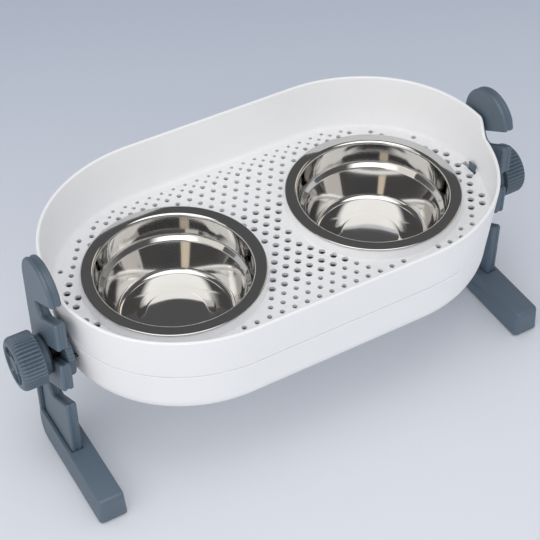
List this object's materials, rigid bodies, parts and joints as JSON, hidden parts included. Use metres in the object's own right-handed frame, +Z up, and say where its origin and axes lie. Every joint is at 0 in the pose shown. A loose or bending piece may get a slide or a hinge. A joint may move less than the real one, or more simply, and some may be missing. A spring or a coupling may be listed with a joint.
{
  "type": "dog feeder stand",
  "caption": "Raised dog feeder: an oval perforated tray with splash guard holds steel bowls between notched legs with clamp knobs for height and tilt.",
  "frame": {"origin": "on the floor, midway between the feet, under the midpoint between the bowls", "axes": "+X along the line of the bowls towards the right leg, +Y towards the splash guard at the back, +Z up"},
  "size_m": [0.511, 0.2389, 0.2235],
  "materials": {
    "white_plastic": "satin moulded",
    "grey_plastic": "satin moulded",
    "polished_steel": "polished pressed sheet",
    "dark_steel": "blackened steel",
    "brass": "turned",
    "rubber": "matt"
  },
  "bodies": {
    "leg_left": {"leg_left": "grey_plastic", "foot_left": "grey_plastic", "foot_pads_left": "rubber", "leg_screws_left": "dark_steel"},
    "clamp_left": {"washer_left": "dark_steel"},
    "tray": {"drip_basin": "white_plastic", "pivot_disc_left": "grey_plastic", "pivot_disc_right": "grey_plastic", "insert_left": "brass", "insert_right": "brass", "bracket_left": "grey_plastic", "bracket_right": "grey_plastic", "bracket_screws_left": "dark_steel", "bracket_screws_right": "dark_steel"},
    "clamp_right": {"washer_right": "dark_steel"},
    "leg_right": {"leg_right": "grey_plastic", "foot_right": "grey_plastic", "foot_pads_right": "rubber", "leg_screws_right": "dark_steel"},
    "shell": {"upper_shell": "white_plastic"},
    "bowl_left": {"bowl_left": "polished_steel"},
    "bowl_right": {"bowl_right": "polished_steel"},
    "stud_left": {"stud_left": "dark_steel"},
    "stud_right": {"stud_right": "dark_steel"},
    "knob_left": {"knob_left": "grey_plastic"},
    "knob_right": {"knob_right": "grey_plastic"}
  },
  "joints": [
    {"name": "notch_slide_left", "type": "slide", "parent": "leg_left", "child": "clamp_left", "axis": [0, -0.8572, 0.515], "range_m": [0, 0.045]},
    {"name": "tray_tilt", "type": "hinge", "parent": "clamp_left", "child": "tray", "pos_m": [0, -0.006, 0.124], "axis": [1, 0, 0], "range_deg": [-15, 15]},
    {"name": "tilt_right", "type": "hinge", "parent": "tray", "child": "clamp_right", "pos_m": [0, -0.006, 0.124], "axis": [1, 0, 0], "range_deg": [-15, 15]},
    {"name": "notch_slide_right", "type": "slide", "parent": "clamp_right", "child": "leg_right", "axis": [0, -0.8572, 0.515], "range_m": [-0.045, 0]},
    {"name": "shell_lift", "type": "slide", "parent": "tray", "child": "shell", "axis": [0, 0, 1], "range_m": [0, 0.09]},
    {"name": "bowl_lift_left", "type": "slide", "parent": "shell", "child": "bowl_left", "axis": [0, 0, 1], "range_m": [0, 0.08]},
    {"name": "bowl_lift_right", "type": "slide", "parent": "shell", "child": "bowl_right", "axis": [0, 0, 1], "range_m": [0, 0.08]},
    {"name": "stud_travel_left", "type": "slide", "parent": "tray", "child": "stud_left", "axis": [-1, 0, 0], "range_m": [0, 0.004]},
    {"name": "knob_turn_left", "type": "hinge", "parent": "stud_left", "child": "knob_left", "pos_m": [0, -0.006, 0.124], "axis": [-1, 0, 0], "range_deg": [0, 720]},
    {"name": "stud_travel_right", "type": "slide", "parent": "tray", "child": "stud_right", "axis": [1, 0, 0], "range_m": [0, 0.004]},
    {"name": "knob_turn_right", "type": "hinge", "parent": "stud_right", "child": "knob_right", "pos_m": [0, -0.006, 0.124], "axis": [1, 0, 0], "range_deg": [0, 720]}
  ],
  "couplings": [
    {"joint": "tilt_right", "follows": "tray_tilt", "ratio": -1},
    {"joint": "notch_slide_right", "follows": "notch_slide_left", "ratio": -1},
    {"joint": "stud_travel_left", "follows": "knob_turn_left", "m_per_rad": 0.00031831},
    {"joint": "stud_travel_right", "follows": "knob_turn_right", "m_per_rad": 0.00031831}
  ]
}
